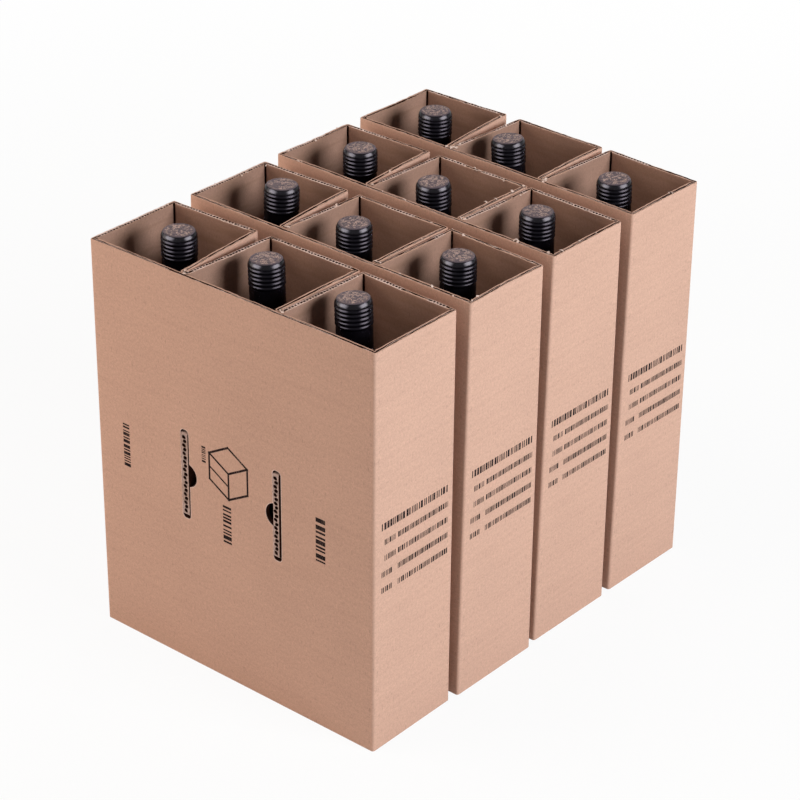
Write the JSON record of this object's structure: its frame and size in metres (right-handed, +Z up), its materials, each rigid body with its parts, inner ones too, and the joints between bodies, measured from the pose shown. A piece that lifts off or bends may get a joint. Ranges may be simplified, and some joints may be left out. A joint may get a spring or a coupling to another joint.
{
  "type": "bottle shipping pack",
  "caption": "Folded corrugated board sleeves with divided cells and locking tabs, each cell holding a dark glass bottle upright under a long screw cap.",
  "frame": {"origin": "on the ground, under the middle of the four sleeves", "axes": "+Z up, +Y from the front sleeve to the back sleeve, +X along the length of a sleeve"},
  "size_m": [0.3024, 0.419, 0.3693],
  "materials": {
    "board": "plain brown corrugated board, matt, with simple printed bars on the front and the ends",
    "bottle_glass": "very dark green glass, smooth, filled with red wine",
    "cap_lacquer": "near black satin lacquer on aluminium, scuffed on top"
  },
  "bodies": {
    "root": {"sleeve_1": "board", "sleeve_2": "board", "sleeve_3": "board", "sleeve_4": "board", "bottle_1_1": "bottle_glass", "bottle_1_2": "bottle_glass", "bottle_1_3": "bottle_glass", "bottle_2_1": "bottle_glass", "bottle_2_2": "bottle_glass", "bottle_2_3": "bottle_glass", "bottle_3_1": "bottle_glass", "bottle_3_2": "bottle_glass", "bottle_3_3": "bottle_glass", "bottle_4_1": "bottle_glass", "bottle_4_2": "bottle_glass", "bottle_4_3": "bottle_glass", "cap_1_1": "cap_lacquer", "cap_1_2": "cap_lacquer", "cap_1_3": "cap_lacquer", "cap_2_1": "cap_lacquer", "cap_2_2": "cap_lacquer", "cap_2_3": "cap_lacquer", "cap_3_1": "cap_lacquer", "cap_3_2": "cap_lacquer", "cap_3_3": "cap_lacquer", "cap_4_1": "cap_lacquer", "cap_4_2": "cap_lacquer", "cap_4_3": "cap_lacquer"}
  },
  "joints": []
}
